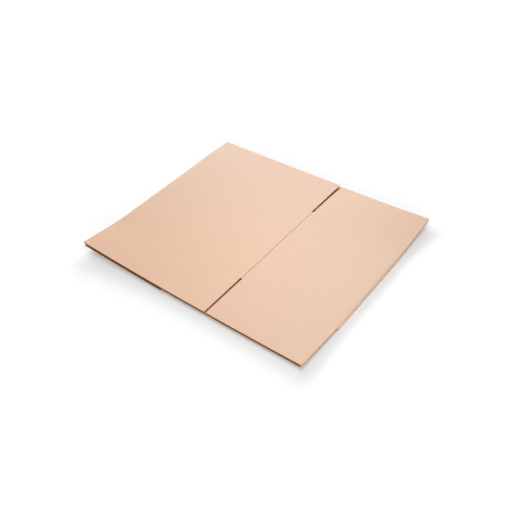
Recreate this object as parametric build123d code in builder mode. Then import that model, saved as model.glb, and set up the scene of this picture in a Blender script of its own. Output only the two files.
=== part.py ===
from build123d import *
import math
import os

# A corrugated shipping box, knocked down flat: a sleeve of four panels pressed to two layers,
# with a flap at each end of every panel. Millimetres, +Z up, the underside on Z = 0.
# X runs across the panels, Y along the box's height, which is also the way the flutes run.

# The box when set up
box_length = 450.0
box_width = 300.0
box_height = 350.0
flap_depth = 146.0

# The board: single wall, C flute
board = 3.8
liner = 0.4
medium = 0.35
flute_pitch = 7.8

# Scores across the flutes, where the flaps fold, and the crease between two panels
score_width = 5.0
score_web = 1.3
crease_width = 3.0
crease_dip = 0.5

# Slots between flaps, and the glue lap that closes the sleeve. The slot behind the flat crease
# was cut further into the sleeve than the others, and the slots on the right fold lie off its
# middle, so that the lower flaps stop short of the upper ones there.
slot_width = 6.0
slot_overcut = 2.5
crease_slot_overcut = 9.0
lower_right_inset = 8.0
lap_width = 35.0
lap_bevel = 9.0
raw_edge_gap = 1.0

# How far the front flaps' free corners are cut in at the right fold, in both layers
front_right_taper = 3.5

# How the pressed layers lie on each other
layer_clearance = 0.3
right_fold_gap = 1.0

# How far a flap's free edge has sprung off the plane of its panel: at its left corner, at the
# control point of its bow, and at its right corner
upper_front_long_lift = (13.0, 0.0, 0.0)
upper_front_short_lift = (0.0, 0.4, 5.0)
upper_back_long_lift = (-3.4, -1.7, 0.0)
upper_back_short_lift = (-3.3, -0.5, 8.5)
lower_front_short_lift = (12.3, 3.0, 2.0)
lower_front_long_lift = (1.2, 0.6, 4.0)
lower_back_short_lift = (0.0, 0.0, 0.0)
lower_back_long_lift = (-3.4, -3.3, 7.0)

# Half sizes and places along X and Y
half_slot = slot_width / 2
half_score = score_width / 2
half_crease = crease_width / 2
panel_end = box_height / 2
free_end = panel_end + flap_depth
right_edge = (box_length + box_width) / 2
left_edge = -right_edge
crease_x = left_edge + box_length
seam_x = left_edge + box_width
lap_end_x = seam_x - lap_width
raw_edge_x = seam_x - raw_edge_gap

# Heights. Both folds stand open by the gap between the layers there.
upper_under = 2 * board + layer_clearance
upper_top = upper_under + board
right_upper_under = board + right_fold_gap
right_top = right_upper_under + board
left_fold_x = left_edge + upper_top / 2
right_fold_x = right_edge - right_top / 2


def height_on_line(x, start, end):
    """Height at x on the line between two (x, z) points."""
    share = (x - start[0]) / (end[0] - start[0])
    return start[1] + share * (end[1] - start[1])


def under_upper_long(x):
    """Underside of the upper long panel, which lies level on the glue lap."""
    return upper_under


def under_upper_short(x):
    """Underside of the upper short panel, which falls from the crease to the right fold."""
    return height_on_line(x, (crease_x, upper_under), (right_fold_x, right_upper_under))


def under_lower_short(x):
    """Underside of the lower short panel, which lies on the floor."""
    return 0.0


def under_lower_long(x):
    """Underside of the lower long panel, which falls from the glue lap to the right fold."""
    return height_on_line(x, (seam_x, board), (right_fold_x, 0.0))


# Where each panel's flaps start and end along X, and the panel's underside there
upper_long = (left_edge + half_slot, crease_x - half_slot, under_upper_long)
upper_short = (crease_x + half_slot, right_edge - half_slot, under_upper_short)
lower_short = (left_edge + half_slot, seam_x - half_slot, under_lower_short)
lower_long = (seam_x + half_slot, right_edge - lower_right_inset, under_lower_long)

# The same at the free edges of the two flaps that narrow
narrowed_short = (upper_short[0], upper_short[1] - front_right_taper, under_upper_short)
narrowed_long = (lower_long[0], lower_long[1] - front_right_taper, under_lower_long)


def bow(lift, share):
    """Lift at a share of the free edge's length, on the same curve as the edge's Bezier."""
    start, control, end = lift
    return (1 - share) ** 2 * start + 2 * share * (1 - share) * control + share**2 * end


def flap_section(panel, y, lift, low, high):
    """Cross-section of a flap at y, between two heights above its bowed underside."""
    left, right, under = panel
    stations = (left, (left + right) / 2, right)
    bottom = [(x, under(x) + rise + low) for x, rise in zip(stations, lift)]
    top = [(x, under(x) + rise + high) for x, rise in zip(stations, lift)]
    with BuildSketch(Plane.XZ.offset(-y)) as section:
        with BuildLine():
            Bezier(*bottom)
            Line(bottom[-1], top[-1])
            Bezier(*reversed(top))
            Line(top[0], bottom[0])
        make_face()
    return section.sketch


def flap_sheet(panel, edge_panel, side, lift, web_low):
    """A flap with its flutes filled: a thin web at the score, which opens to the full board and
    runs out to the bowed free edge, whose ends edge_panel gives. The score was pressed in from
    the side away from the web."""
    flat = (0.0, 0.0, 0.0)
    score = flap_section(panel, side * panel_end, flat, web_low, web_low + score_web)
    full_board = flap_section(panel, side * (panel_end + half_score), flat, 0.0, board)
    free_edge = flap_section(edge_panel, side * free_end, lift, 0.0, board)
    with BuildPart() as sheet:
        loft([score, full_board, free_edge], ruled=True)
    return sheet.part


def flute_channels(edge_panel, side, lift):
    """The hollow flutes of a flap: three-cornered channels below and above the medium in turn,
    from where the score has crushed them out through the free edge."""
    left, right, under = edge_panel
    core = board - 2 * liner
    half_pitch = flute_pitch / 2
    half_mouth = half_pitch - medium / 2 / math.sin(math.atan2(core, half_pitch))
    rise = core * half_mouth / half_pitch
    start = panel_end + score_width
    past_edge = 1.0
    flutes = int((right - left) / flute_pitch)
    first_x = (left + right - flutes * flute_pitch) / 2 + half_pitch
    with BuildPart() as channels:
        for index in range(2 * flutes - 1):
            x = first_x + index * half_pitch
            slope = bow(lift, (x - left) / (right - left)) / (flap_depth - half_score)
            foot = (x, side * start, under(x) + slope * half_score)
            # the sketch plane faces the free edge, so at the back its own Y points down
            up = -side
            base = liner if index % 2 == 0 else board - liner
            apex = base + rise if index % 2 == 0 else base - rise
            with BuildSketch(Plane(origin=foot, x_dir=(1, 0, 0), z_dir=(0, side, slope))):
                with BuildLine():
                    Polyline((-half_mouth, up * base), (half_mouth, up * base), (0, up * apex), close=True)
                make_face()
        extrude(amount=free_end - start + past_edge)
    return channels.part


def score_groove(panel_line, start_x, end_x, side, pressed_from_above):
    """The half of a flap's score that lies on the panel: a groove that thins the panel's last
    few millimetres to the web, along X between two places."""
    sections = []
    for x in (start_x, end_x):
        under = panel_line(x)
        surface = under + board if pressed_from_above else under
        bottom = under + score_web if pressed_from_above else under + board - score_web
        with BuildSketch(Plane.YZ.offset(x)) as groove:
            with BuildLine():
                Polyline(
                    (side * (panel_end - half_score), surface),
                    (side * (panel_end + half_score), surface),
                    (side * (panel_end + half_score), bottom),
                    (side * panel_end, bottom),
                    close=True,
                )
            make_face()
        sections.append(groove.sketch)
    with BuildPart() as cut:
        loft(sections, ruled=True)
    return cut.part


# The pressed sleeve's section across the flutes, extruded by the height of the box
upper_crease_top = upper_top - crease_dip
with BuildPart() as sleeve:
    with BuildSketch(Plane.XZ):
        with BuildLine():
            Polyline((left_fold_x, 0), (raw_edge_x, 0), (raw_edge_x, board), (seam_x, board), (right_fold_x, 0))
            RadiusArc((right_fold_x, 0), (right_fold_x, right_top), -right_top / 2)
            Polyline(
                (right_fold_x, right_top),
                (crease_x + half_crease, under_upper_short(crease_x + half_crease) + board),
                (crease_x, upper_crease_top),
                (crease_x - half_crease, upper_top),
                (left_fold_x, upper_top),
            )
            RadiusArc((left_fold_x, upper_top), (left_fold_x, 0), -upper_top / 2)
        make_face()
        with BuildLine():
            Polyline(
                (left_fold_x, board),
                (lap_end_x, board),
                (lap_end_x, 2 * board),
                (seam_x, 2 * board),
                (right_fold_x, board),
            )
            RadiusArc((right_fold_x, board), (right_fold_x, right_upper_under), -right_fold_gap / 2)
            Polyline(
                (right_fold_x, right_upper_under),
                (crease_x + half_score, under_upper_short(crease_x + half_score)),
                (crease_x, upper_crease_top - score_web),
                (crease_x - half_score, upper_under),
                (left_fold_x, upper_under),
            )
            RadiusArc((left_fold_x, upper_under), (left_fold_x, board), -(upper_under - board) / 2)
        make_face(mode=Mode.SUBTRACT)
    extrude(amount=panel_end, both=True)

    # the glue lap's ends are cut back, so that they clear the scores
    with BuildSketch(Plane.XY.offset(board)):
        for side in (-1, 1):
            with BuildLine():
                Polyline(
                    (seam_x, side * (panel_end - half_score)),
                    (lap_end_x, side * (panel_end - half_score - lap_bevel)),
                    (lap_end_x, side * panel_end),
                    (seam_x, side * panel_end),
                    close=True,
                )
            make_face()
    extrude(amount=board, mode=Mode.SUBTRACT)

grooves = []
lower_flaps = []
lower_channels = []
for side in (-1, 1):
    grooves.append(score_groove(under_upper_long, left_fold_x, crease_x, side, False))
    grooves.append(score_groove(under_upper_short, crease_x, right_fold_x, side, False))
    grooves.append(score_groove(under_lower_short, left_fold_x, raw_edge_x, side, True))
    grooves.append(score_groove(under_lower_long, seam_x, right_fold_x, side, True))
for panel, edge_panel, side, lift in (
    (lower_short, lower_short, -1, lower_front_short_lift),
    (lower_long, narrowed_long, -1, lower_front_long_lift),
    (lower_short, lower_short, 1, lower_back_short_lift),
    (lower_long, lower_long, 1, lower_back_long_lift),
):
    lower_flaps.append(flap_sheet(panel, edge_panel, side, lift, 0.0))
    lower_channels.append(flute_channels(edge_panel, side, lift))

with BuildPart() as folded_blank:
    add(sleeve.part)
    add(grooves, mode=Mode.SUBTRACT)
    # every slot is cut a little past the scores, through one layer inboard and through the folds
    for side in (-1, 1):
        slot_y = side * (panel_end - slot_overcut / 2)
        for slot_x, width, low, high in (
            (left_edge, slot_width, 0.0, upper_top),
            (right_edge, slot_width, 0.0, upper_top),
            (right_edge, 2 * lower_right_inset, 0.0, board),
            (crease_x, slot_width, upper_under - layer_clearance, upper_top),
            (seam_x, slot_width, 0.0, 2 * board),
        ):
            with BuildSketch(Plane.XY.offset(low)):
                with Locations((slot_x, slot_y)):
                    Rectangle(width, slot_overcut)
            extrude(amount=high - low, mode=Mode.SUBTRACT)
    # the slot behind the flat crease runs on into the sleeve
    with BuildSketch(Plane.XY.offset(upper_under - layer_clearance)):
        with Locations((crease_x, panel_end - crease_slot_overcut / 2)):
            Rectangle(slot_width, crease_slot_overcut)
    extrude(amount=board + layer_clearance, mode=Mode.SUBTRACT)
    add(lower_flaps)
    add(lower_channels, mode=Mode.SUBTRACT)


# The upper layer's flaps are free, and each swings up on its score, which was pressed in from below
web_from = board - score_web
front_long_sheet = flap_sheet(upper_long, upper_long, -1, upper_front_long_lift, web_from)
front_long_channels = flute_channels(upper_long, -1, upper_front_long_lift)
front_short_sheet = flap_sheet(upper_short, narrowed_short, -1, upper_front_short_lift, web_from)
front_short_channels = flute_channels(narrowed_short, -1, upper_front_short_lift)
back_long_sheet = flap_sheet(upper_long, upper_long, 1, upper_back_long_lift, web_from)
back_long_channels = flute_channels(upper_long, 1, upper_back_long_lift)
back_short_sheet = flap_sheet(upper_short, upper_short, 1, upper_back_short_lift, web_from)
back_short_channels = flute_channels(upper_short, 1, upper_back_short_lift)

with BuildPart() as front_long_flap:
    add(front_long_sheet)
    add(front_long_channels, mode=Mode.SUBTRACT)

with BuildPart() as front_short_flap:
    add(front_short_sheet)
    add(front_short_channels, mode=Mode.SUBTRACT)

with BuildPart() as back_long_flap:
    add(back_long_sheet)
    add(back_long_channels, mode=Mode.SUBTRACT)

with BuildPart() as back_short_flap:
    add(back_short_sheet)
    add(back_short_channels, mode=Mode.SUBTRACT)

folded_blank.part.label = "folded_blank"
front_long_flap.part.label = "front_long_flap"
front_short_flap.part.label = "front_short_flap"
back_long_flap.part.label = "back_long_flap"
back_short_flap.part.label = "back_short_flap"

os.makedirs("parts", exist_ok=True)
export_step(folded_blank.part, "parts/folded_blank.step")
export_step(front_long_flap.part, "parts/front_long_flap.step")
export_step(front_short_flap.part, "parts/front_short_flap.step")
export_step(back_long_flap.part, "parts/back_long_flap.step")
export_step(back_short_flap.part, "parts/back_short_flap.step")
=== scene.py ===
"""A plain corrugated shipping box, knocked down flat, dressed around its CAD frame.

One sheet of board, pressed to two layers, with a flap at each end of every panel. Everything is
in metres in the frame of the CAD: X across the panels, Y along the flutes, Z up from the floor.
"""

import math
from collections import namedtuple

import bpy
import numpy as np
from mathutils import Matrix, Vector


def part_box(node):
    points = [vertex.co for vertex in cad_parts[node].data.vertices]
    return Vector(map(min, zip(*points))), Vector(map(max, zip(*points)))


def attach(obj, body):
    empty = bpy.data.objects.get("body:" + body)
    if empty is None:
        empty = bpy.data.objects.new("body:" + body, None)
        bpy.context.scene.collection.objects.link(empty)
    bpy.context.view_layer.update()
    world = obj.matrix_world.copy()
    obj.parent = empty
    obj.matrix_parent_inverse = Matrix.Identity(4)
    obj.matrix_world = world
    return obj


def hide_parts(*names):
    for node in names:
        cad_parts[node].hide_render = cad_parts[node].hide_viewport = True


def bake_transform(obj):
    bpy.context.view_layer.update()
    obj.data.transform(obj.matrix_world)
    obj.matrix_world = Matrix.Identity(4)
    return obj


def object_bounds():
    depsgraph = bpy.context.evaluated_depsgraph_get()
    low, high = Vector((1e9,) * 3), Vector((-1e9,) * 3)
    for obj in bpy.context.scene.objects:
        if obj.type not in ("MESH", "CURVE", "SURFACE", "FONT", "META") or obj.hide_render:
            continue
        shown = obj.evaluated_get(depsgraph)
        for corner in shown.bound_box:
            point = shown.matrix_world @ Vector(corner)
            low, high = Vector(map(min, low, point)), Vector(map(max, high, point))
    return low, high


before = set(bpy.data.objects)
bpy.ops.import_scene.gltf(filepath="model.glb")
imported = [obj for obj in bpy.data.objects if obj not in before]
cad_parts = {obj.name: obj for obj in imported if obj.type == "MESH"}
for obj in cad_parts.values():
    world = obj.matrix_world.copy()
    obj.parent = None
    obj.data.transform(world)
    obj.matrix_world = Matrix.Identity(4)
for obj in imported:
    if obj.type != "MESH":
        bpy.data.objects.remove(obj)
cad_low, cad_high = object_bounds()

bl_info = {
    "name": "Flattened cardboard box",
    "version": (1, 0, 0),
    "blender": (4, 5, 0),
    "location": "View3D > Sidebar > Flat box",
    "description": "Builds a knocked-down corrugated box around its CAD frame",
    "category": "Add Mesh",
}

MM = 0.001
SHEET_MAP = "sheet"

# how far apart the two rows of points are that stand for one upright cut
CUT = 0.05 * MM

# edges between faces that turn by more than this are drawn sharp
SHARP_EDGE = math.radians(40)

# points across the long and short panels, round a fold, across the lap, and along the sleeve
LONG_PANEL_STEPS, SHORT_PANEL_STEPS, FOLD_STEPS, LAP_STEPS, SLEEVE_ROWS = 19, 13, 19, 5, 15

# columns of points across a facing and a score, and in the pinched rim at each side of them
FACING_COLUMNS, SCORE_COLUMNS, RIM_COLUMNS = 53, 25, 6

# rows of points along a facing, beside its score and beyond, and rows across a score
NEAR_SCORE_ROWS, FACING_ROWS, SCORE_ROWS = 5, 9, 11

# faces across one flute and along it, and how high a flute still stands where its score crushes it
FLUTE_SEGMENTS, FLUTE_ROWS, CRUSHED_SHARE = 14, 6, 0.6

# how much of the burnish colour the paper takes at a fold, and on the inside of a score
FOLD_BURNISH = 0.08
SCORE_BURNISH = 0.5

# how far in from its free edge a facing is worn
WORN_EDGE = 3 * MM

# patterns of the papers, in millimetres on the sheet: the slow drift to a darker, warmer tone, partly
# the mill's web and partly painted shade, clouds of fibre, a fibre's length and width as drawn, the
# distance between flecks, and patches of scuff
WEB_DRIFT = 800.0
FIBRE_CLOUD = 18.0
DRAWN_FIBRE = (10.0, 1.2)
FLECK_SPACING = 14.0
SCUFF_PATCH = 4.0

# where on the mill's web the sheet was cut, in lengths of the drift, which puts the darker, warmer end,
# partly painted shade, on the front-left corner, and the drift at its two ends
SHEET_ON_WEB = (7.6875, 11.8125, 0.0)
PLAIN_DRIFT, WARM_DRIFT = 0.459, 0.838

# a colour Mix node's factor and its two colours, whose names other sockets share
MIX_FACTOR, MIX_FROM, MIX_TO = 0, 6, 7

# half the floor's width, and how far it lies under the box
FLOOR_HALF = 6.0
FLOOR_DROP = 0.2 * MM

# how bright the lamps make the bare floor: a spot under the overhead lamp, with its level and its
# radius, and along a line towards the windows the level at the middle, its slope and its curve
SPOT_LEVEL, SPOT_RADIUS = 0.525, 1.054
WINDOW_LINE = math.radians(138.6)
MIDDLE_LEVEL, LEVEL_SLOPE, LEVEL_CURVE = 0.398, 0.222, 0.199

# the level that the floor is seen at, a little over plain white, and its rise per square metre
SEEN_WHITE, WHITE_RISE = 1.01, 0.06

# between these distances from the middle the floor goes over to a glow that is white by itself
GLOW_START, GLOW_FULL = 0.9, 1.8


def linear(code):
    """Linear RGB of an sRGB hex colour."""
    values = [int(code[i:i + 2], 16) / 255 for i in (1, 3, 5)]
    return [v / 12.92 if v <= 0.04045 else ((v + 0.055) / 1.055) ** 2.4 for v in values]


def length(name, description, default):
    """A size in metres, given here in millimetres."""
    return bpy.props.FloatProperty(
        name=name,
        description=description,
        default=default * MM,
        min=0.0,
        precision=5,
        unit="LENGTH",
        subtype="DISTANCE",
    )


def lifts(name, left, control, right):
    """A flap's three lifts in metres, given here in millimetres."""
    return bpy.props.FloatVectorProperty(
        name=name,
        description="Lift of the free edge at its left corner, control point and right corner",
        default=(left * MM, control * MM, right * MM),
        size=3,
        precision=5,
        unit="LENGTH",
    )


def colour(name, description, code):
    """A colour, given here as an sRGB hex code."""
    return bpy.props.FloatVectorProperty(
        name=name,
        description=description,
        default=linear(code),
        size=3,
        min=0.0,
        max=1.0,
        subtype="COLOR",
    )


def power(name, description, default):
    """A lamp's power in watts."""
    return bpy.props.FloatProperty(
        name=name, description=description, default=default, min=0.0, unit="POWER"
    )


def spot(name, description, default):
    """A place in metres."""
    return bpy.props.FloatVectorProperty(
        name=name, description=description, default=default, unit="LENGTH", subtype="TRANSLATION"
    )


class FlatBoxSizes(bpy.types.PropertyGroup):
    """The board and how it was scored, slotted and folded."""

    board: length("Board", "Thickness of the single-wall board", 3.8)
    liner: length("Liner", "Thickness of each facing", 0.4)
    medium: length("Medium", "Thickness of the fluted paper", 0.25)
    pitch: length("Flute pitch", "Distance between two flute crests", 7.8)
    score_width: length("Score width", "Width of the crushed line where a flap folds", 5.0)
    score_web: length("Score web", "Board left at the bottom of a score", 1.3)
    crease_width: length("Crease width", "Width of the crease between two panels", 3.0)
    crease_dip: length("Crease dip", "Depth of that crease on the outside", 0.5)
    slot_width: length("Slot width", "Gap between neighbouring flaps", 6.0)
    crease_slot_overcut: length(
        "Crease slot overcut", "How far the slot behind the flat crease runs past the score", 9.0
    )
    lower_right_inset: length(
        "Lower right inset", "How far the lower flaps stop short of the right fold", 8.0
    )
    front_right_taper: length(
        "Front right taper", "How far the front flaps' free corners are cut in at the right", 3.5
    )
    back_right_taper: length(
        "Back right taper", "How far the upper back flap's free corner is cut in at the right", 3.0
    )
    front_left_taper: length(
        "Front left taper", "How far the lower front flap's free corner is cut in at the left", 2.0
    )
    pinch_width: length(
        "Pinch width", "Width of the flap's edge that the slotting knife has pinched", 4.0
    )
    pinched_board: length("Pinched board", "Thickness of the board at such an edge", 1.9)
    lap_width: length("Lap width", "Width of the glue lap", 35.0)
    lap_bevel: length("Lap bevel", "How far the lap's ends are cut back", 9.0)
    raw_edge_gap: length(
        "Raw edge gap", "From the lap's fold to the edge of the panel glued to it", 1.0
    )
    layer_clearance: length(
        "Layer clearance", "Air between the pressed layers at the left fold", 0.3
    )
    right_fold_gap: length(
        "Right fold gap", "Air between the pressed layers at the right fold", 1.0
    )


class FlatBoxLifts(bpy.types.PropertyGroup):
    """How the flaps' free edges have sprung off the planes of their panels."""

    upper_front_long: lifts("Upper front long", 13.0, 0.0, 0.0)
    upper_front_short: lifts("Upper front short", 0.0, 0.4, 5.0)
    upper_back_long: lifts("Upper back long", -3.4, -1.7, 0.0)
    upper_back_short: lifts("Upper back short", -3.3, -0.5, 8.5)
    lower_front_short: lifts("Lower front short", 12.3, 4.0, 0.0)
    lower_front_long: lifts("Lower front long", 1.2, 0.6, 4.0)
    lower_back_short: lifts("Lower back short", 0.0, 0.0, 0.0)
    lower_back_long: lifts("Lower back long", -3.4, -3.3, 7.0)
    curl: bpy.props.FloatProperty(
        name="Curl",
        description="How late the lift sets in after the score, where 1 is a flat flap",
        default=1.35,
        min=1.0,
    )


class FlatBoxColours(bpy.types.PropertyGroup):
    """The papers' colours."""

    outer_liner: colour("Outer liner", "Kraft facing on the outside", "#ECCAB1")
    # the darker, warmer tone that the outside drifts to is partly painted shade on the front-left corner
    outer_warm_and_shade: colour("Outer liner, warm", "The shade that the outside drifts to", "#EABFA0")
    inner_liner: colour("Inner liner", "Recycled facing on the inside", "#C79768")
    inner_warm: colour("Inner liner, warm", "The shade that the inside drifts to", "#C7915F")
    fluting: colour("Fluting", "Fluted medium", "#B07C4C")
    raw_fibre: colour("Raw fibre", "Paper where a knife has cut it", "#C4905E")
    # also the painted shade in the crease between the upper panels
    burnish_and_crease_shade: colour("Burnish", "Paper that a creasing wheel has pressed", "#A77851")
    fleck: colour("Fleck", "Bark and bits of old board in the pulp", "#9C7350")
    floor: colour("Floor", "The floor under the box", "#F4F4F4")


class FlatBoxStudio(bpy.types.PropertyGroup):
    """The camera and the light."""

    camera: spot("Camera", "Where the camera stands", (0.91791, -1.13741, 1.25506))
    aim: spot("Aim", "The point at the picture's centre", (0.04595, -0.07083, 0.0))
    roll: bpy.props.FloatProperty(
        name="Roll",
        description="Turn of the camera about its own axis",
        default=math.radians(-3.08),
        unit="ROTATION",
        subtype="ANGLE",
    )
    lens: bpy.props.FloatProperty(
        name="Lens", description="Focal length on a 36 mm sensor, in millimetres", default=47.56
    )
    sky: bpy.props.FloatProperty(
        name="Sky", description="Strength of the even white light", default=0.08, min=0.0
    )
    overhead: power("Overhead", "Power of the soft lamp over the box", 3.8)
    window: power("Window", "Power of the large upright lamp behind the box", 112.0)
    side_window: power("Side window", "Power of the large upright lamp to the left", 68.0)
    card: power("Card", "Power of the low lamp in front, for the light off a white card", 55.0)


Panel = namedtuple("Panel", "left right start end top map_start map_step")
Flap = namedtuple("Flap", "name panel side node")
Lamp = namedtuple("Lamp", "name place aim width height")

LAMPS = (
    Lamp("overhead", (0.2, -0.08, 0.8), (0.2, -0.08, 0.0), 0.7, 0.7),
    Lamp("window", (-1.6, 2.77, 0.8), (0.0, 0.0, 0.8), 2.2, 0.9),
    Lamp("side_window", (-3.01, 1.09, 1.03), (0.0, 0.0, 1.03), 2.2, 0.56),
    Lamp("card", (1.93, -2.3, 0.4), (0.0, 0.0, 0.4), 1.8, 0.8),
)

FLAPS = (
    Flap("lower_front_short", "lower_short", -1, "folded_blank"),
    Flap("lower_front_long", "lower_long", -1, "folded_blank"),
    Flap("lower_back_short", "lower_short", 1, "folded_blank"),
    Flap("lower_back_long", "lower_long", 1, "folded_blank"),
    Flap("upper_front_long", "upper_long", -1, "front_long_flap"),
    Flap("upper_front_short", "upper_short", -1, "front_short_flap"),
    Flap("upper_back_long", "upper_long", 1, "back_long_flap"),
    Flap("upper_back_short", "upper_short", 1, "back_short_flap"),
)


class Lie:
    """Where the pressed sheet lies: its edges from the frame, its thicknesses from the sizes."""

    def __init__(self):
        size = bpy.context.scene.flat_box_sizes
        self.size = size
        self.lifts = bpy.context.scene.flat_box_lifts
        self.left, self.right = cad_low.x, cad_high.x
        self.free_end = cad_high.y
        self.score_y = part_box("back_long_flap")[0].y
        self.crease = (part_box("back_long_flap")[1].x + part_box("back_short_flap")[0].x) / 2
        self.seam = self.left + (self.right - self.crease)
        self.lap_end = self.seam - size.lap_width
        self.raw_edge = self.seam - size.raw_edge_gap
        self.under = 2 * size.board + size.layer_clearance
        self.top = self.under + size.board
        self.right_under = size.board + size.right_fold_gap
        self.right_top = self.right_under + size.board
        self.left_fold = self.left + self.top / 2
        self.right_fold = self.right - self.right_top / 2
        self.sleeve_end = self.score_y - size.score_width / 2
        self.flap_start = self.score_y + size.score_width / 2
        half_slot = size.slot_width / 2
        long_start, short_start = size.lap_width, size.lap_width + self.right - self.seam
        back_start = short_start + self.right - self.left
        self.panels = {
            "upper_long": Panel(
                left=self.left + half_slot,
                right=self.crease - half_slot,
                start=(self.left, self.under),
                end=(self.crease, self.under),
                top=True,
                map_start=short_start + self.right,
                map_step=-1,
            ),
            "upper_short": Panel(
                left=self.crease + half_slot,
                right=self.right - half_slot,
                start=(self.crease, self.under),
                end=(self.right_fold, self.right_under),
                top=True,
                map_start=short_start + self.right,
                map_step=-1,
            ),
            "lower_short": Panel(
                left=self.left + half_slot,
                right=self.seam - half_slot,
                start=(self.left, 0.0),
                end=(self.seam, 0.0),
                top=False,
                map_start=back_start - self.left,
                map_step=1,
            ),
            "lower_long": Panel(
                left=self.seam + half_slot,
                right=self.right - size.lower_right_inset,
                start=(self.seam, size.board),
                end=(self.right_fold, 0.0),
                top=False,
                map_start=long_start - self.seam,
                map_step=1,
            ),
        }
        # how far the free corners are cut in, at the left and at the right
        self.cut_in = {
            "lower_front_short": (size.front_left_taper, 0.0),
            "lower_front_long": (0.0, size.front_right_taper),
            "upper_front_short": (0.0, size.front_right_taper),
            "upper_back_short": (0.0, size.back_right_taper),
        }

    def under_panel(self, panel, x):
        """Height of a panel's underside at x."""
        (x0, z0), (x1, z1) = panel.start, panel.end
        return z0 + (x - x0) / (x1 - x0) * (z1 - z0)

    def along(self, panel, x):
        """Distance along the flat sheet from the lap's end, for the papers' patterns."""
        return panel.map_start + panel.map_step * x

    def reach(self, out):
        """Share of the way from a flap's score to its free edge."""
        return np.clip((out - self.flap_start) / (self.free_end - self.flap_start), 0, 1)

    def under_flap(self, flap, x, out):
        """Height of a flap's underside at x, at a distance out from the box's middle."""
        panel = self.panels[flap.panel]
        left, control, right = getattr(self.lifts, flap.name)
        share = (x - panel.left) / (panel.right - panel.left)
        bow = (1 - share) ** 2 * left + 2 * share * (1 - share) * control + share ** 2 * right
        return self.under_panel(panel, x) + bow * self.reach(out) ** self.lifts.curl

    def sides(self, flap, out):
        """x of a flap's two sides at a distance out from the box's middle."""
        panel, reach = self.panels[flap.panel], self.reach(out)
        left, right = self.cut_in.get(flap.name, (0.0, 0.0))
        return panel.left + left * reach, panel.right - right * reach

    def thickness(self, flap, x, out):
        """Thickness of a flap's board: the slotting knife has pinched it along both sides."""
        size = self.size
        left, right = self.sides(flap, out)
        inset = np.clip(np.minimum(x - left, right - x) / size.pinch_width, 0, 1)
        from_score = np.clip((out - self.flap_start) / (2 * size.pinch_width), 0, 1)
        pinch = (1 - np.sin(inset * math.pi / 2)) * from_score
        return size.board - (size.board - size.pinched_board) * pinch


class Board:
    """Gathers closed sheets of paper or board into one mesh."""

    def __init__(self):
        self.points, self.faces, self.kinds, self.maps = [], [], [], []
        self.values = {"crush": [], "edge": []}

    def sheet(self, outer, inner, along, crush=None, edge=None, kinds=(0, 1, 2)):
        """A closed sheet between two skins, each an array of rows of points. kinds are the
        materials of its outer skin, its inner skin and its edges; crush and edge are for both
        skins, or for each skin in turn."""
        rows, columns = outer.shape[:2]
        first = sum(len(p) for p in self.points)
        index = first + np.arange(2 * rows * columns).reshape(2, rows, columns)
        both = np.stack([outer, inner])
        self.points.append(both.reshape(-1, 3))
        across = np.stack([along, outer[..., 1]], axis=-1)
        self.maps.append(np.stack([across, across]).reshape(-1, 2))
        for name, given in (("crush", crush), ("edge", edge)):
            filled = 0.0 if given is None else given
            self.values[name].append(np.broadcast_to(filled, both.shape[:3]).ravel())

        def quads(a, b, c, d):
            return np.stack([a, b, c, d], axis=-1).reshape(-1, 4)

        o, i = index
        skin = quads(o[:-1, :-1], o[1:, :-1], o[1:, 1:], o[:-1, 1:])
        back = quads(i[:-1, :-1], i[:-1, 1:], i[1:, 1:], i[1:, :-1])
        rims = [
            quads(o[0, :-1], o[0, 1:], i[0, 1:], i[0, :-1]),
            quads(o[-1, 1:], o[-1, :-1], i[-1, :-1], i[-1, 1:]),
            quads(o[1:, 0], o[:-1, 0], i[:-1, 0], i[1:, 0]),
            quads(o[:-1, -1], o[1:, -1], i[1:, -1], i[:-1, -1]),
        ]
        faces = np.concatenate([skin, back, *rims])
        if self._inside_out(both.reshape(-1, 3), faces - first):
            faces = faces[:, ::-1]
        self.faces.append(faces)
        self.kinds.append(np.repeat(kinds, (len(skin), len(back), sum(len(r) for r in rims))))

    def _inside_out(self, points, faces):
        """True where the closed sheet's faces point inwards, so its signed volume is negative."""
        a, b, c, d = (points[faces[:, k]] - points.mean(0) for k in range(4))
        return (np.cross(a, b) * c).sum() + (np.cross(a, c) * d).sum() < 0

    def piece(self, name, papers):
        """The mesh object. Its skins are smooth and its cut edges are flat."""
        points, faces = np.concatenate(self.points), np.concatenate(self.faces)
        kinds, maps = np.concatenate(self.kinds), np.concatenate(self.maps)
        mesh = bpy.data.meshes.new(name)
        mesh.from_pydata(points.tolist(), [], faces.tolist())
        for paper in papers:
            mesh.materials.append(paper)
        mesh.polygons.foreach_set("material_index", kinds.astype(np.int32))
        mesh.polygons.foreach_set("use_smooth", np.ones(len(faces), bool))
        layer = mesh.uv_layers.new(name=SHEET_MAP)
        layer.uv.foreach_set("vector", maps[faces.ravel()].astype(np.float32).ravel())
        for key, value in self.values.items():
            made = mesh.attributes.new(key, "FLOAT", "POINT")
            made.data.foreach_set("value", np.concatenate(value).astype(np.float32))
        mesh.set_sharp_from_angle(angle=SHARP_EDGE)
        mesh.validate()
        mesh.update()
        return placed(name, mesh)


def placed(name, mesh):
    """A new object at the origin with this mesh."""
    made = bpy.data.objects.new(name, mesh)
    bpy.context.scene.collection.objects.link(made)
    return made


def hand_over(piece, body, *nodes):
    """The piece rides on its body, and stands for the CAD nodes that it replaces."""
    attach(piece, body)
    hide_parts(*nodes)


def fold_points(centre, radius, start):
    """Points (x, z) on the half circle of a fold, and their shares of the turn."""
    shares = np.linspace(0, 1, FOLD_STEPS)
    angles = start + math.pi * shares
    x, z = centre[0] + radius * np.cos(angles), centre[1] + radius * np.sin(angles)
    return np.stack([x, z], axis=-1), shares


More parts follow.
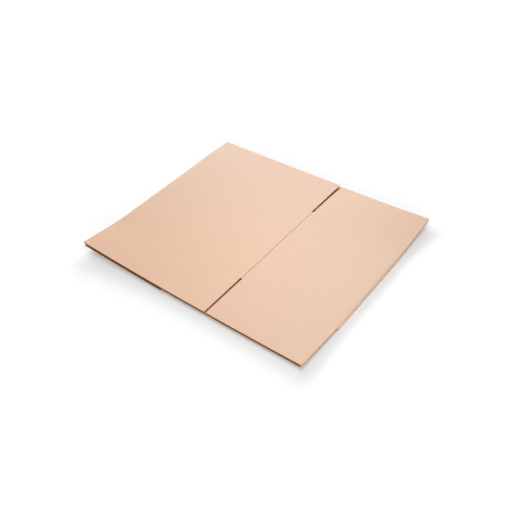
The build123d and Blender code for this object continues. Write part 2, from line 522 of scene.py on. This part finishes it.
def sleeve_section(lie):
    """The sheet's section across the flutes, from the lap's end round to the raw edge: outer and inner
    points (x, z), the distance along the sheet, and how much of the pressed paper's colour it takes,
    which in the crease between the upper panels is also painted shade."""
    size, panels = lie.size, lie.panels
    outer, inner, along, crush = [], [], [], []

    def run(panel, start, end, steps):
        """A flat stretch of a panel from one x to another."""
        for x in np.linspace(start, end, steps):
            under = lie.under_panel(panel, x)
            outer.append((x, under + size.board if panel.top else under))
            inner.append((x, under if panel.top else under + size.board))
            along.append(lie.along(panel, x))
            crush.append(0.0)

    def fold(x, low, high, start, before, after):
        """A pressed fold between two panels, open by the gap between them. It leaves out its ends,
        which belong to the panels."""
        centre = (x, (low + high) / 2)
        out_points, shares = fold_points(centre, centre[1], start)
        in_points, _ = fold_points(centre, (high - low) / 2, start)
        along_start, along_end = lie.along(before, x), lie.along(after, x)
        outer.extend(out_points[1:-1].tolist())
        inner.extend(in_points[1:-1].tolist())
        along.extend((along_start + shares * (along_end - along_start))[1:-1])
        crush.extend((FOLD_BURNISH * np.sin(math.pi * shares) ** 0.5)[1:-1])

    lower_long, lower_short = panels["lower_long"], panels["lower_short"]
    upper_long, upper_short = panels["upper_long"], panels["upper_short"]
    # the lap lies on the raw edge of the panel that it is glued to
    for x in np.linspace(lie.lap_end, lie.seam, LAP_STEPS)[:-1]:
        outer.append((x, size.board))
        inner.append((x, 2 * size.board))
        along.append(lie.along(lower_long, x))
        crush.append(0.0)
    run(lower_long, lie.seam, lie.right_fold, LONG_PANEL_STEPS)
    fold(lie.right_fold, size.board, lie.right_under, -math.pi / 2, lower_long, upper_short)
    half, notch = size.crease_width / 2, size.slot_width / 2
    run(upper_short, lie.right_fold, lie.crease + notch + CUT, SHORT_PANEL_STEPS)
    run(upper_short, lie.crease + notch, lie.crease + half, 3)
    # the crease dips in on the outside and leaves a web over a wider groove on the inside
    web = size.board - size.crease_dip - size.score_web
    for share in np.linspace(0.75, -0.75, 7):
        panel = upper_short if share > 0 else upper_long
        x = lie.crease + share * half
        depth = (1 + math.cos(math.pi * share)) / 2
        under = lie.under_panel(panel, x)
        outer.append((x, under + size.board - size.crease_dip * depth))
        inner.append((lie.crease + share * size.score_width / 2, under + web * depth))
        along.append(lie.along(panel, x))
        # the crease takes the pressed colour in full: creased paper, and painted shade in its dip
        crush.append(depth)
    run(upper_long, lie.crease - half, lie.crease - notch, 3)
    run(upper_long, lie.crease - notch - CUT, lie.left_fold, LONG_PANEL_STEPS)
    fold(lie.left_fold, size.board, lie.under, math.pi / 2, upper_long, lower_short)
    run(lower_short, lie.left_fold, lie.raw_edge, SHORT_PANEL_STEPS)
    return np.array(outer), np.array(inner), np.array(along), np.array(crush)


def make_sleeve(lie, papers):
    """The four panels and the glue lap as one closed sheet of board, between the scores."""
    size = lie.size
    outer, inner, along, crush = sleeve_section(lie)
    rows = np.linspace(-lie.sleeve_end, lie.sleeve_end, SLEEVE_ROWS)
    # the lap's ends are cut back towards its edge
    on_lap = np.arange(len(outer)) < LAP_STEPS
    into_lap = np.clip((lie.seam - outer[:, 0]) / size.lap_width, 0, 1) * on_lap
    reach = 1 - into_lap * size.lap_bevel / lie.sleeve_end
    y = reach[:, None] * rows[None, :]
    # the slot behind the crease between the upper panels runs on into the sleeve
    beside_crease = np.abs(outer[:, 0] - lie.crease) < (size.slot_width + CUT) / 2
    slotted = beside_crease & (outer[:, 1] > lie.under)
    y[slotted, -1] = lie.score_y - size.crease_slot_overcut

    def skin(section):
        x, z = (np.broadcast_to(section[:, k:k + 1], y.shape) for k in (0, 1))
        return np.stack([x, y, z], axis=-1)

    board = Board()
    board.sheet(skin(outer), skin(inner), np.broadcast_to(along[:, None], y.shape), crush[:, None])
    return board.piece("sleeve", papers)


def flap_grid(lie, flap, columns, rows):
    """x across a flap, distance out from the box's middle, and the height of its underside."""
    panel = lie.panels[flap.panel]
    rim = lie.size.pinch_width / (panel.right - panel.left)
    left_rim = np.linspace(0, rim, RIM_COLUMNS)[:-1]
    right_rim = np.linspace(1 - rim, 1, RIM_COLUMNS)[1:]
    shares = np.concatenate([left_rim, np.linspace(rim, 1 - rim, columns), right_rim])
    out = np.zeros(len(shares))[:, None] + np.asarray(rows)[None, :]
    left, right = lie.sides(flap, out)
    x = left + shares[:, None] * (right - left)
    return x, out, lie.under_flap(flap, x, out)


def flap_skins(lie, flap, x, out, low, high):
    """The outer and inner skins of a layer of a flap that lies between two heights."""
    bottom = np.stack([x, flap.side * out, low], axis=-1)
    top = np.stack([x, flap.side * out, high], axis=-1)
    return (top, bottom) if lie.panels[flap.panel].top else (bottom, top)


def make_facings(lie, flap, papers):
    """The two liners of a flap, from its score to its free edge."""
    size = lie.size
    pinched = lie.flap_start + 2 * size.pinch_width
    near_score = np.linspace(lie.flap_start, pinched, NEAR_SCORE_ROWS)[:-1]
    beyond = np.linspace(pinched, lie.free_end - WORN_EDGE, FACING_ROWS)
    rows = np.concatenate([near_score, beyond, (lie.free_end - WORN_EDGE / 3, lie.free_end)])
    x, out, under = flap_grid(lie, flap, FACING_COLUMNS, rows)
    along = lie.along(lie.panels[flap.panel], x)
    worn = np.clip(1 - (lie.free_end - out) / WORN_EDGE, 0, 1)
    thick = lie.thickness(flap, x, out)
    faces_up = lie.panels[flap.panel].top
    low = under + size.board - thick if faces_up else under
    board = Board()
    for bottom, outside in ((low, not faces_up), (low + thick - size.liner, faces_up)):
        outer, inner = flap_skins(lie, flap, x, out, bottom, bottom + size.liner)
        board.sheet(outer, inner, along, edge=worn, kinds=(0, 3, 2) if outside else (3, 1, 2))
    return board.piece(flap.name + "_facings", papers)


def make_score(lie, flap, papers):
    """The crushed line where a flap folds: full board at both sides and a thin web between."""
    size = lie.size
    half = size.score_width / 2
    rows = lie.score_y + np.linspace(-half, half, SCORE_ROWS)
    x, out, under = flap_grid(lie, flap, SCORE_COLUMNS, rows)
    depth = (1 + np.cos(math.pi * (out - lie.score_y) / half)) / 2
    thin = (size.board - size.score_web) * depth
    top = lie.panels[flap.panel].top
    low, high = under + thin * top, under + size.board - thin * (not top)
    outer, inner = flap_skins(lie, flap, x, out, low, high)
    board = Board()
    # the creasing wheel presses from the inside
    burnish_and_crease_shade = np.stack([0 * depth, SCORE_BURNISH * depth])
    board.sheet(outer, inner, lie.along(lie.panels[flap.panel], x), crush=burnish_and_crease_shade)
    return board.piece(flap.name + "_score", papers)


def add(tree, kind, inputs=None, **settings):
    """Adds a node with its settings, and sets or links its inputs. A node given as an input stands
    for its first output that is in use."""
    made = tree.nodes.new(kind)
    for key, value in settings.items():
        setattr(made, key, value)
    for key, value in (inputs or {}).items():
        if isinstance(value, bpy.types.Node):
            value = next(output for output in value.outputs if output.enabled)
        if isinstance(value, bpy.types.NodeSocket):
            tree.links.new(value, made.inputs[key])
        else:
            made.inputs[key].default_value = value
    return made


FLUTING_INPUTS = (
    ("Flutes", "NodeSocketInt"),
    ("Segments", "NodeSocketInt"),
    ("Rows", "NodeSocketInt"),
    ("Pitch", "NodeSocketFloat"),
    ("Height", "NodeSocketFloat"),
    ("Depth", "NodeSocketFloat"),
    ("Crushed Length", "NodeSocketFloat"),
    ("Crushed Share", "NodeSocketFloat"),
    ("Paper", "NodeSocketMaterial"),
)


def fluting_tree():
    """One flute, crushed at the end that meets the score, repeated along a line and made one sheet."""
    tree = bpy.data.node_groups.new("fluting", "GeometryNodeTree")
    tree.interface.new_socket(name="Geometry", in_out="INPUT", socket_type="NodeSocketGeometry")
    for name, kind in FLUTING_INPUTS:
        tree.interface.new_socket(name=name, in_out="INPUT", socket_type=kind)
    tree.interface.new_socket(name="Geometry", in_out="OUTPUT", socket_type="NodeSocketGeometry")
    given = add(tree, "NodeGroupInput").outputs
    columns = add(tree, "ShaderNodeMath", {0: given["Segments"], 1: 1.0}, operation="ADD")
    # the grid's first row of faces is the crushed length, and the others run on to the mouth
    steps = add(tree, "ShaderNodeMath", {0: given["Rows"], 1: 1.0}, operation="ADD")
    lines = add(tree, "ShaderNodeMath", {0: given["Rows"], 1: 2.0}, operation="ADD")
    flute = add(
        tree, "GeometryNodeMeshGrid",
        {"Size X": given["Pitch"], "Size Y": 1.0, "Vertices X": columns, "Vertices Y": lines},
    )
    place = add(tree, "ShaderNodeSeparateXYZ", {0: add(tree, "GeometryNodeInputPosition")})
    row = add(
        tree, "ShaderNodeMapRange",
        {"Value": place.outputs["Y"], "From Min": -0.5, "From Max": 0.5, "To Min": 0.0, "To Max": steps},
    )
    turns = add(tree, "ShaderNodeMath", {0: place.outputs["X"], 1: given["Pitch"]}, operation="DIVIDE")
    angle = add(tree, "ShaderNodeMath", {0: turns, 1: 2 * math.pi}, operation="MULTIPLY")
    wave = add(tree, "ShaderNodeMath", {0: angle}, operation="SINE")
    half = add(tree, "ShaderNodeMath", {0: given["Height"], 1: 0.5}, operation="MULTIPLY")
    crushed = add(
        tree, "ShaderNodeMapRange",
        {"Value": row, "To Max": given["Crushed Length"]},
    )
    open_length = add(
        tree, "ShaderNodeMath",
        {0: given["Depth"], 1: given["Crushed Length"]},
        operation="SUBTRACT",
    )
    opened = add(
        tree, "ShaderNodeMapRange",
        {"Value": row, "From Min": 1.0, "From Max": steps, "To Min": 0.0, "To Max": open_length},
    )
    out = add(tree, "ShaderNodeMath", {0: crushed, 1: opened}, operation="ADD")
    squeeze = add(
        tree, "ShaderNodeMapRange",
        {"Value": row, "To Min": given["Crushed Share"]},
    )
    height = add(tree, "ShaderNodeMath", {0: half, 1: squeeze}, operation="MULTIPLY")
    rise = add(tree, "ShaderNodeMath", {0: wave, 1: height}, operation="MULTIPLY")
    point = add(tree, "ShaderNodeCombineXYZ", {"X": place.outputs["X"], "Y": out, "Z": rise})
    shaped = add(tree, "GeometryNodeSetPosition", {"Geometry": flute.outputs["Mesh"], "Position": point})
    step = add(tree, "ShaderNodeCombineXYZ", {"X": given["Pitch"]})
    line = add(tree, "GeometryNodeMeshLine", {"Count": given["Flutes"], "Offset": step}, mode="OFFSET")
    many = add(tree, "GeometryNodeInstanceOnPoints", {"Points": line, "Instance": shaped})
    real = add(tree, "GeometryNodeRealizeInstances", {0: many})
    whole = add(tree, "GeometryNodeMergeByDistance", {"Geometry": real, "Distance": 0.01 * MM})
    paper = add(tree, "GeometryNodeSetMaterial", {"Geometry": whole, "Material": given["Paper"]})
    add(tree, "NodeGroupOutput", {0: paper})
    return tree


def make_fluting(lie, flap, tree, paper):
    """The fluted medium of a flap, grown flat by the node tree and then laid on the bowed flap."""
    size, panel = lie.size, lie.panels[flap.panel]
    width = panel.right - panel.left
    flutes = round(width / size.pitch)
    pitch = width / flutes
    name = flap.name + "_fluting"
    grown = placed(name, bpy.data.meshes.new(name))
    modifier = grown.modifiers.new("fluting", "NODES")
    modifier.node_group = tree
    values = {
        "Flutes": flutes,
        "Segments": FLUTE_SEGMENTS,
        "Rows": FLUTE_ROWS,
        "Pitch": pitch,
        "Height": size.board - 2 * size.liner - size.medium,
        "Depth": lie.free_end - lie.flap_start,
        "Crushed Length": size.score_width / 2,
        "Crushed Share": CRUSHED_SHARE,
        "Paper": paper,
    }
    for socket in tree.interface.items_tree:
        if socket.in_out == "INPUT" and socket.name in values:
            modifier[socket.identifier] = values[socket.name]
    thick = grown.modifiers.new("paper", "SOLIDIFY")
    thick.thickness = size.medium
    thick.offset = 0.0
    seen = bpy.context.evaluated_depsgraph_get()
    mesh = bpy.data.meshes.new_from_object(grown.evaluated_get(seen), depsgraph=seen)
    grown.modifiers.clear()
    grown.data = mesh
    points = np.empty(len(mesh.vertices) * 3)
    mesh.vertices.foreach_get("co", points)
    points = points.reshape(-1, 3)
    out = np.clip(lie.flap_start + points[:, 1], lie.flap_start, lie.free_end)
    x = np.clip(panel.left + pitch / 2 + points[:, 0], panel.left, panel.right)
    # the last flutes are drawn in where a corner is cut in
    left, right = lie.sides(flap, out)
    reached = 2 * size.pinch_width
    at_left = np.clip(1 - (x - panel.left) / reached, 0, 1)
    at_right = np.clip(1 - (panel.right - x) / reached, 0, 1)
    x += (left - panel.left) * at_left - (panel.right - right) * at_right
    thick = lie.thickness(flap, x, out)
    squeeze = (thick - 2 * size.liner) / (size.board - 2 * size.liner)
    middle = size.board - thick / 2 if panel.top else thick / 2
    z = lie.under_flap(flap, x, out) + middle + squeeze * points[:, 2]
    mesh.vertices.foreach_set("co", np.stack([x, flap.side * out, z], axis=-1).ravel())
    if flap.side < 0:
        mesh.flip_normals()
    mesh.polygons.foreach_set("use_smooth", np.ones(len(mesh.polygons), bool))
    mesh.set_sharp_from_angle(angle=SHARP_EDGE)
    mesh.update()
    return grown


def blank_material(name):
    """A material with an empty node tree, and that tree."""
    made = bpy.data.materials.get(name) or bpy.data.materials.new(name)
    made.use_nodes = True
    made.node_tree.nodes.clear()
    return made, made.node_tree


def paper_shader(tree, tint, roughness, bump):
    """The shader of a paper, which has the IOR of cellulose and no metal."""
    shader = add(
        tree, "ShaderNodeBsdfPrincipled",
        {"Base Color": tint, "Roughness": roughness, "Normal": bump, "IOR": 1.5, "Metallic": 0.0},
    )
    add(tree, "ShaderNodeOutputMaterial", {"Surface": shader})


def linerboard(name, base, warm, fleck, burnish_and_crease_shade, raw, cloud_depth, fleck_share, roughness):
    """Linerboard, a heavy kraft paper off a paper machine: matt and even at arm's length. The eye gets a
    tone that drifts slowly to a darker, warmer one, partly the paper's own and partly painted shade, a
    cloudy formation, fibres that lie along the machine's direction, which is across the flutes, a few
    flecks, a faint washboard over the flutes with its shade painted in, and burnished paper in the
    creases, with painted shade in the crease between the upper panels."""
    made, tree = blank_material(name)
    sheet = add(tree, "ShaderNodeUVMap", uv_map=SHEET_MAP)
    mm = add(tree, "ShaderNodeMapping", {"Vector": sheet, "Scale": (1000, 1000, 1000)})
    # the tone drifts slowly over the mill's web to a darker, warmer one, and the sheet lies so that this
    # falls on its front-left corner: partly the paper's tone, partly painted shade
    web = add(
        tree, "ShaderNodeMapping",
        {"Vector": mm, "Location": SHEET_ON_WEB, "Scale": (1 / WEB_DRIFT,) * 3},
    )
    drift = add(tree, "ShaderNodeTexNoise", {"Vector": web, "Scale": 1.0, "Detail": 0.0})
    warmth_and_shade = add(
        tree, "ShaderNodeMapRange",
        {"Value": drift, "From Min": PLAIN_DRIFT, "From Max": WARM_DRIFT},
    )
    shade = add(
        tree, "ShaderNodeMix",
        {MIX_FACTOR: warmth_and_shade, MIX_FROM: (*base, 1.0), MIX_TO: (*warm, 1.0)},
        data_type="RGBA",
    )
    # formation: clouds of fibre 15 to 20 mm across
    cloud = add(
        tree, "ShaderNodeTexNoise",
        {"Vector": mm, "Scale": 1 / FIBRE_CLOUD, "Detail": 4.0, "Roughness": 0.6},
    )
    # fibres are 3 mm long and 0.04 mm wide; drawn 10 mm by 1.2 mm, so that they show at all
    fibre_length, fibre_width = DRAWN_FIBRE
    combed = add(
        tree, "ShaderNodeMapping",
        {"Vector": mm, "Scale": (1 / fibre_length, 1 / fibre_width, 1.0)},
    )
    fibre = add(
        tree, "ShaderNodeTexNoise",
        {"Vector": combed, "Scale": 1.0, "Detail": 3.0, "Roughness": 0.55},
    )
    # flecks up to 1 mm across, about 14 mm apart, and only in some places
    cell = add(tree, "ShaderNodeTexVoronoi", {"Vector": mm, "Scale": 1 / FLECK_SPACING})
    spot = add(
        tree, "ShaderNodeMapRange",
        {"Value": cell, "From Min": 0.02, "From Max": 0.045, "To Min": 1.0, "To Max": 0.0},
    )
    pick = add(tree, "ShaderNodeSeparateColor", {0: cell.outputs["Color"]})
    some = add(tree, "ShaderNodeMath", {0: pick, 1: fleck_share}, operation="LESS_THAN")
    flecks = add(tree, "ShaderNodeMath", {0: spot, 1: some}, operation="MULTIPLY")
    # the washboard follows the flutes, and its shade is painted into the colour too, a little lighter on
    # its crests
    across = add(tree, "ShaderNodeSeparateXYZ", {0: mm})
    pitch = bpy.context.scene.flat_box_sizes.pitch / MM
    turn = add(
        tree, "ShaderNodeMath",
        {0: across.outputs["X"], 1: 2 * math.pi / pitch},
        operation="MULTIPLY",
    )
    washboard = add(tree, "ShaderNodeMath", {0: turn}, operation="SINE")

    tone = add(
        tree, "ShaderNodeMapRange",
        {
            "Value": cloud, "From Min": 0.3, "From Max": 0.7,
            "To Min": 1 - cloud_depth, "To Max": 1 + cloud_depth,
        },
    )
    fibre_tone = add(
        tree, "ShaderNodeMapRange",
        {"Value": fibre, "From Min": 0.25, "From Max": 0.75, "To Min": 0.985, "To Max": 1.015},
    )
    washboard_painted_shade = add(
        tree, "ShaderNodeMapRange",
        {"Value": washboard, "From Min": -1.0, "From Max": 1.0, "To Min": 0.996, "To Max": 1.004},
    )
    both = add(tree, "ShaderNodeMath", {0: tone, 1: fibre_tone}, operation="MULTIPLY")
    full = add(tree, "ShaderNodeMath", {0: both, 1: washboard_painted_shade}, operation="MULTIPLY")
    plain = add(tree, "ShaderNodeVectorMath", {0: shade, "Scale": full}, operation="SCALE")
    flecked = add(
        tree, "ShaderNodeMix",
        {MIX_FACTOR: flecks, MIX_FROM: plain, MIX_TO: (*fleck, 1.0)},
        data_type="RGBA",
    )
    # pressed paper at folds and scores, and painted shade in the crease between the upper panels
    crush = add(tree, "ShaderNodeAttribute", attribute_name="crush")
    pressed = add(
        tree, "ShaderNodeMix",
        {MIX_FACTOR: crush.outputs["Fac"], MIX_FROM: flecked, MIX_TO: (*burnish_and_crease_shade, 1.0)},
        data_type="RGBA",
    )
    # the paper is scuffed in patches beside its cut edge
    edge = add(tree, "ShaderNodeAttribute", attribute_name="edge")
    patch = add(tree, "ShaderNodeTexNoise", {"Vector": mm, "Scale": 1 / SCUFF_PATCH, "Detail": 2.0})
    torn = add(
        tree, "ShaderNodeMapRange",
        {"Value": patch, "From Min": 0.45, "From Max": 0.7, "To Min": 0.0, "To Max": 0.6},
    )
    scuff = add(tree, "ShaderNodeMath", {0: torn, 1: edge.outputs["Fac"]}, operation="MULTIPLY")
    worn = add(
        tree, "ShaderNodeMix",
        {MIX_FACTOR: scuff, MIX_FROM: pressed, MIX_TO: (*raw, 1.0)},
        data_type="RGBA",
    )
    gloss = add(
        tree, "ShaderNodeMapRange",
        {
            "Value": cloud, "From Min": 0.3, "From Max": 0.7,
            "To Min": roughness + 0.05, "To Max": roughness - 0.05,
        },
    )
    # fibres stand 0.02 mm proud and the flutes show through by as much
    relief = add(tree, "ShaderNodeMath", {0: fibre, 1: washboard}, operation="ADD")
    bump = add(tree, "ShaderNodeBump", {"Height": relief, "Distance": 0.02 * MM, "Strength": 1.0})
    paper_shader(tree, worn, gloss, bump)
    return made


def raw_paper(name, base, hollow_shade, grain, roughness):
    """Unsized paper with an open surface: fluting medium, and the edge that a knife leaves. The eye gets
    a dull, felted grain of so many millimetres, with painted shade that makes it darker by a share where
    the grain lies low."""
    hollow_shade_tint = [hollow_shade * value for value in base]
    made, tree = blank_material(name)
    place = add(tree, "ShaderNodeTexCoord")
    mm = add(tree, "ShaderNodeMapping", {"Vector": place.outputs["Object"], "Scale": (1000, 1000, 1000)})
    felt = add(
        tree, "ShaderNodeTexNoise",
        {"Vector": mm, "Scale": 1 / grain, "Detail": 4.0, "Roughness": 0.65},
    )
    hollow = add(
        tree, "ShaderNodeMapRange",
        {"Value": felt, "From Min": 0.35, "From Max": 0.65, "To Min": 0.0, "To Max": 1.0},
    )
    # painted shade: darker where the felt's bump lies low
    tint = add(
        tree, "ShaderNodeMix",
        {MIX_FACTOR: hollow, MIX_FROM: (*hollow_shade_tint, 1.0), MIX_TO: (*base, 1.0)},
        data_type="RGBA",
    )
    bump = add(tree, "ShaderNodeBump", {"Height": felt, "Distance": 0.05 * MM, "Strength": 1.0})
    paper_shader(tree, tint, roughness, bump)
    return made


def papers():
    """The board's papers in the order of the meshes' materials: outer facing, inner facing, cut
    edge, the facings' glued sides, and last the fluting."""
    tints = bpy.context.scene.flat_box_colours
    fleck, burnish_and_crease_shade, raw = tints.fleck[:], tints.burnish_and_crease_shade[:], tints.raw_fibre[:]
    outside, inside, fluting = tints.outer_liner[:], tints.inner_liner[:], tints.fluting[:]
    common = (fleck, burnish_and_crease_shade, raw)
    return [
        linerboard(
            "kraft_linerboard", outside, tints.outer_warm_and_shade[:], *common,
            cloud_depth=0.012, fleck_share=0.25, roughness=0.8,
        ),
        linerboard(
            "recycled_linerboard", inside, tints.inner_warm[:], *common,
            cloud_depth=0.03, fleck_share=0.6, roughness=0.88,
        ),
        raw_paper("knife_cut_paper", raw, hollow_shade=0.7, grain=0.8, roughness=0.92),
        raw_paper("unsized_linerboard_back", inside, hollow_shade=0.85, grain=2.0, roughness=0.9),
        raw_paper("fluting_medium", fluting, hollow_shade=0.8, grain=1.5, roughness=0.9),
    ]


class FLATBOX_OT_sleeve(bpy.types.Operator):
    """Builds the pressed sleeve of four panels and its glue lap"""

    bl_idname = "flat_box.sleeve"
    bl_label = "Sleeve"

    def execute(self, context):
        lie = Lie()
        hand_over(make_sleeve(lie, papers()[:4]), "folded_blank", "folded_blank")
        return {"FINISHED"}


class FLATBOX_OT_flaps(bpy.types.Operator):
    """Builds the eight flaps: two facings each, with the fluted medium between them"""

    bl_idname = "flat_box.flaps"
    bl_label = "Flaps"

    def execute(self, context):
        lie, stock, tree = Lie(), papers(), fluting_tree()
        for flap in FLAPS:
            hand_over(make_facings(lie, flap, stock[:4]), flap.node, flap.node)
            hand_over(make_fluting(lie, flap, tree, stock[4]), flap.node, flap.node)
        return {"FINISHED"}


class FLATBOX_OT_scores(bpy.types.Operator):
    """Builds the scores that the flaps fold on"""

    bl_idname = "flat_box.scores"
    bl_label = "Scores"

    def execute(self, context):
        lie, stock = Lie(), papers()
        for flap in FLAPS:
            score = make_score(lie, flap, stock[:4])
            if flap.node == "folded_blank":
                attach(score, "folded_blank")
            else:
                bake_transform(score)
        return {"FINISHED"}


def seen_directly(tree):
    """1 for a ray that looks straight, in a gloss or through glass, and 0 for one that lights."""
    ray = add(tree, "ShaderNodeLightPath").outputs
    straight = add(
        tree, "ShaderNodeMath",
        {0: ray["Is Camera Ray"], 1: ray["Is Glossy Ray"]},
        operation="MAXIMUM",
    )
    return add(tree, "ShaderNodeMath", {0: straight, 1: ray["Is Transmission Ray"]}, operation="MAXIMUM")


def floor_level(tree, place):
    """How bright the lamps make the bare floor: a spot under the overhead lamp, and a curve that
    rises along the line from the low card to the windows."""
    foot = add(tree, "ShaderNodeVectorMath", {0: place, 1: LAMPS[0].aim}, operation="SUBTRACT")
    square = add(tree, "ShaderNodeVectorMath", {0: foot, 1: foot}, operation="DOT_PRODUCT")
    spread = add(
        tree, "ShaderNodeMath",
        {0: square, 1: 1 / SPOT_RADIUS ** 2, 2: 1.0},
        operation="MULTIPLY_ADD",
    )
    spot = add(tree, "ShaderNodeMath", {0: spread, 1: -2.0}, operation="POWER")
    line = (math.cos(WINDOW_LINE), math.sin(WINDOW_LINE), 0.0)
    along = add(tree, "ShaderNodeVectorMath", {0: place, 1: line}, operation="DOT_PRODUCT")
    slope = add(
        tree, "ShaderNodeMath",
        {0: along, 1: LEVEL_CURVE, 2: LEVEL_SLOPE},
        operation="MULTIPLY_ADD",
    )
    curve = add(tree, "ShaderNodeMath", {0: slope, 1: along, 2: MIDDLE_LEVEL}, operation="MULTIPLY_ADD")
    return add(tree, "ShaderNodeMath", {0: spot, 1: SPOT_LEVEL, 2: curve}, operation="MULTIPLY_ADD")


def seamless_paper(tint):
    """White paper, dead matt. It is seen brighter than it is lit by what it lacks of plain white
    where nothing stands on it, so that it runs out to white and still takes the shadow."""
    made, tree = blank_material("seamless_paper")
    matt = add(tree, "ShaderNodeBsdfDiffuse", {"Color": (*tint, 1.0)})
    place = add(tree, "ShaderNodeTexCoord").outputs["Object"]
    # more over plain white farther out, where the level is only roughly known
    away = add(tree, "ShaderNodeVectorMath", {0: place, 1: place}, operation="DOT_PRODUCT")
    white = add(
        tree, "ShaderNodeMath",
        {0: away, 1: WHITE_RISE, 2: SEEN_WHITE},
        operation="MULTIPLY_ADD",
    )
    lift = add(
        tree, "ShaderNodeMath",
        {0: white, 1: floor_level(tree, place)},
        operation="SUBTRACT",
        use_clamp=True,
    )
    far = add(
        tree, "ShaderNodeMapRange",
        {"Value": away, "From Min": GLOW_START ** 2, "From Max": GLOW_FULL ** 2, "To Min": lift},
        interpolation_type="SMOOTHSTEP",
    )
    strength = add(tree, "ShaderNodeMath", {0: far, 1: seen_directly(tree)}, operation="MULTIPLY")
    glow = add(tree, "ShaderNodeEmission", {"Color": (1.0, 1.0, 1.0, 1.0), "Strength": strength})
    both = add(tree, "ShaderNodeAddShader", {0: matt, 1: glow})
    add(tree, "ShaderNodeOutputMaterial", {"Surface": both})
    return made


class FLATBOX_OT_stage(bpy.types.Operator):
    """Lays the white floor and sets up the soft light and the camera"""

    bl_idname = "flat_box.stage"
    bl_label = "Stage"

    def execute(self, context):
        studio, tints = context.scene.flat_box_studio, context.scene.flat_box_colours
        signs = ((-1, -1), (1, -1), (1, 1), (-1, 1))
        corners = [(x * FLOOR_HALF, y * FLOOR_HALF, -FLOOR_DROP) for x, y in signs]
        mesh = bpy.data.meshes.new("floor")
        mesh.from_pydata(corners, [], [(0, 1, 2, 3)])
        mesh.materials.append(seamless_paper(tints.floor[:]))
        placed("floor", mesh)

        world = bpy.data.worlds.new("even_white")
        world.use_nodes = True
        tree = world.node_tree
        tree.nodes.clear()
        strength = add(
            tree, "ShaderNodeMapRange",
            {"Value": seen_directly(tree), "To Min": studio.sky, "To Max": 1.0},
        )
        back = add(tree, "ShaderNodeBackground", {"Color": (1.0, 1.0, 1.0, 1.0), "Strength": strength})
        add(tree, "ShaderNodeOutputWorld", {"Surface": back})
        context.scene.world = world

        for lamp in LAMPS:
            light = bpy.data.lights.new(lamp.name, "AREA")
            light.shape = "RECTANGLE"
            light.size, light.size_y = lamp.width, lamp.height
            light.energy = getattr(studio, lamp.name)
            hung = bpy.data.objects.new(lamp.name, light)
            hung.location = lamp.place
            look = Vector(lamp.aim) - Vector(lamp.place)
            hung.rotation_euler = look.to_track_quat("-Z", "Y").to_euler()
            hung.visible_camera = False
            context.scene.collection.objects.link(hung)

        lens = bpy.data.cameras.new("camera")
        lens.sensor_width, lens.lens = 36.0, studio.lens
        camera = bpy.data.objects.new("camera", lens)
        look = (Vector(studio.aim) - Vector(studio.camera)).to_track_quat("-Z", "Y").to_matrix()
        turned = look @ Matrix.Rotation(studio.roll, 3, "Z")
        camera.matrix_world = Matrix.Translation(studio.camera) @ turned.to_4x4()
        context.scene.collection.objects.link(camera)
        context.scene.camera = camera
        context.scene.view_settings.view_transform = "Standard"
        return {"FINISHED"}


OPERATORS = (FLATBOX_OT_sleeve, FLATBOX_OT_flaps, FLATBOX_OT_scores, FLATBOX_OT_stage)
GROUPS = {
    "flat_box_sizes": FlatBoxSizes,
    "flat_box_lifts": FlatBoxLifts,
    "flat_box_colours": FlatBoxColours,
    "flat_box_studio": FlatBoxStudio,
}


class FLATBOX_PT_panel(bpy.types.Panel):
    """The box's sizes and colours, and a button for each group of pieces"""

    bl_idname = "FLATBOX_PT_panel"
    bl_label = "Flattened cardboard box"
    bl_space_type = "VIEW_3D"
    bl_region_type = "UI"
    bl_category = "Flat box"

    def draw(self, context):
        for name in GROUPS:
            group = getattr(context.scene, name)
            column = self.layout.column(align=True)
            for key in group.__annotations__:
                column.prop(group, key)
        for operator in OPERATORS:
            self.layout.operator(operator.bl_idname)


def register():
    """Registers the classes and hangs the property groups on the scene."""
    for group in (*GROUPS.values(), *OPERATORS, FLATBOX_PT_panel):
        bpy.utils.register_class(group)
    for name, group in GROUPS.items():
        setattr(bpy.types.Scene, name, bpy.props.PointerProperty(type=group))


def unregister():
    """Takes the property groups and the classes away again."""
    for name in GROUPS:
        delattr(bpy.types.Scene, name)
    for group in (FLATBOX_PT_panel, *reversed(OPERATORS), *GROUPS.values()):
        bpy.utils.unregister_class(group)


def main():
    """Builds the box and its stage."""
    register()
    bpy.ops.flat_box.stage()
    bpy.ops.flat_box.sleeve()
    bpy.ops.flat_box.flaps()
    bpy.ops.flat_box.scores()


if __name__ == "__main__":
    main()
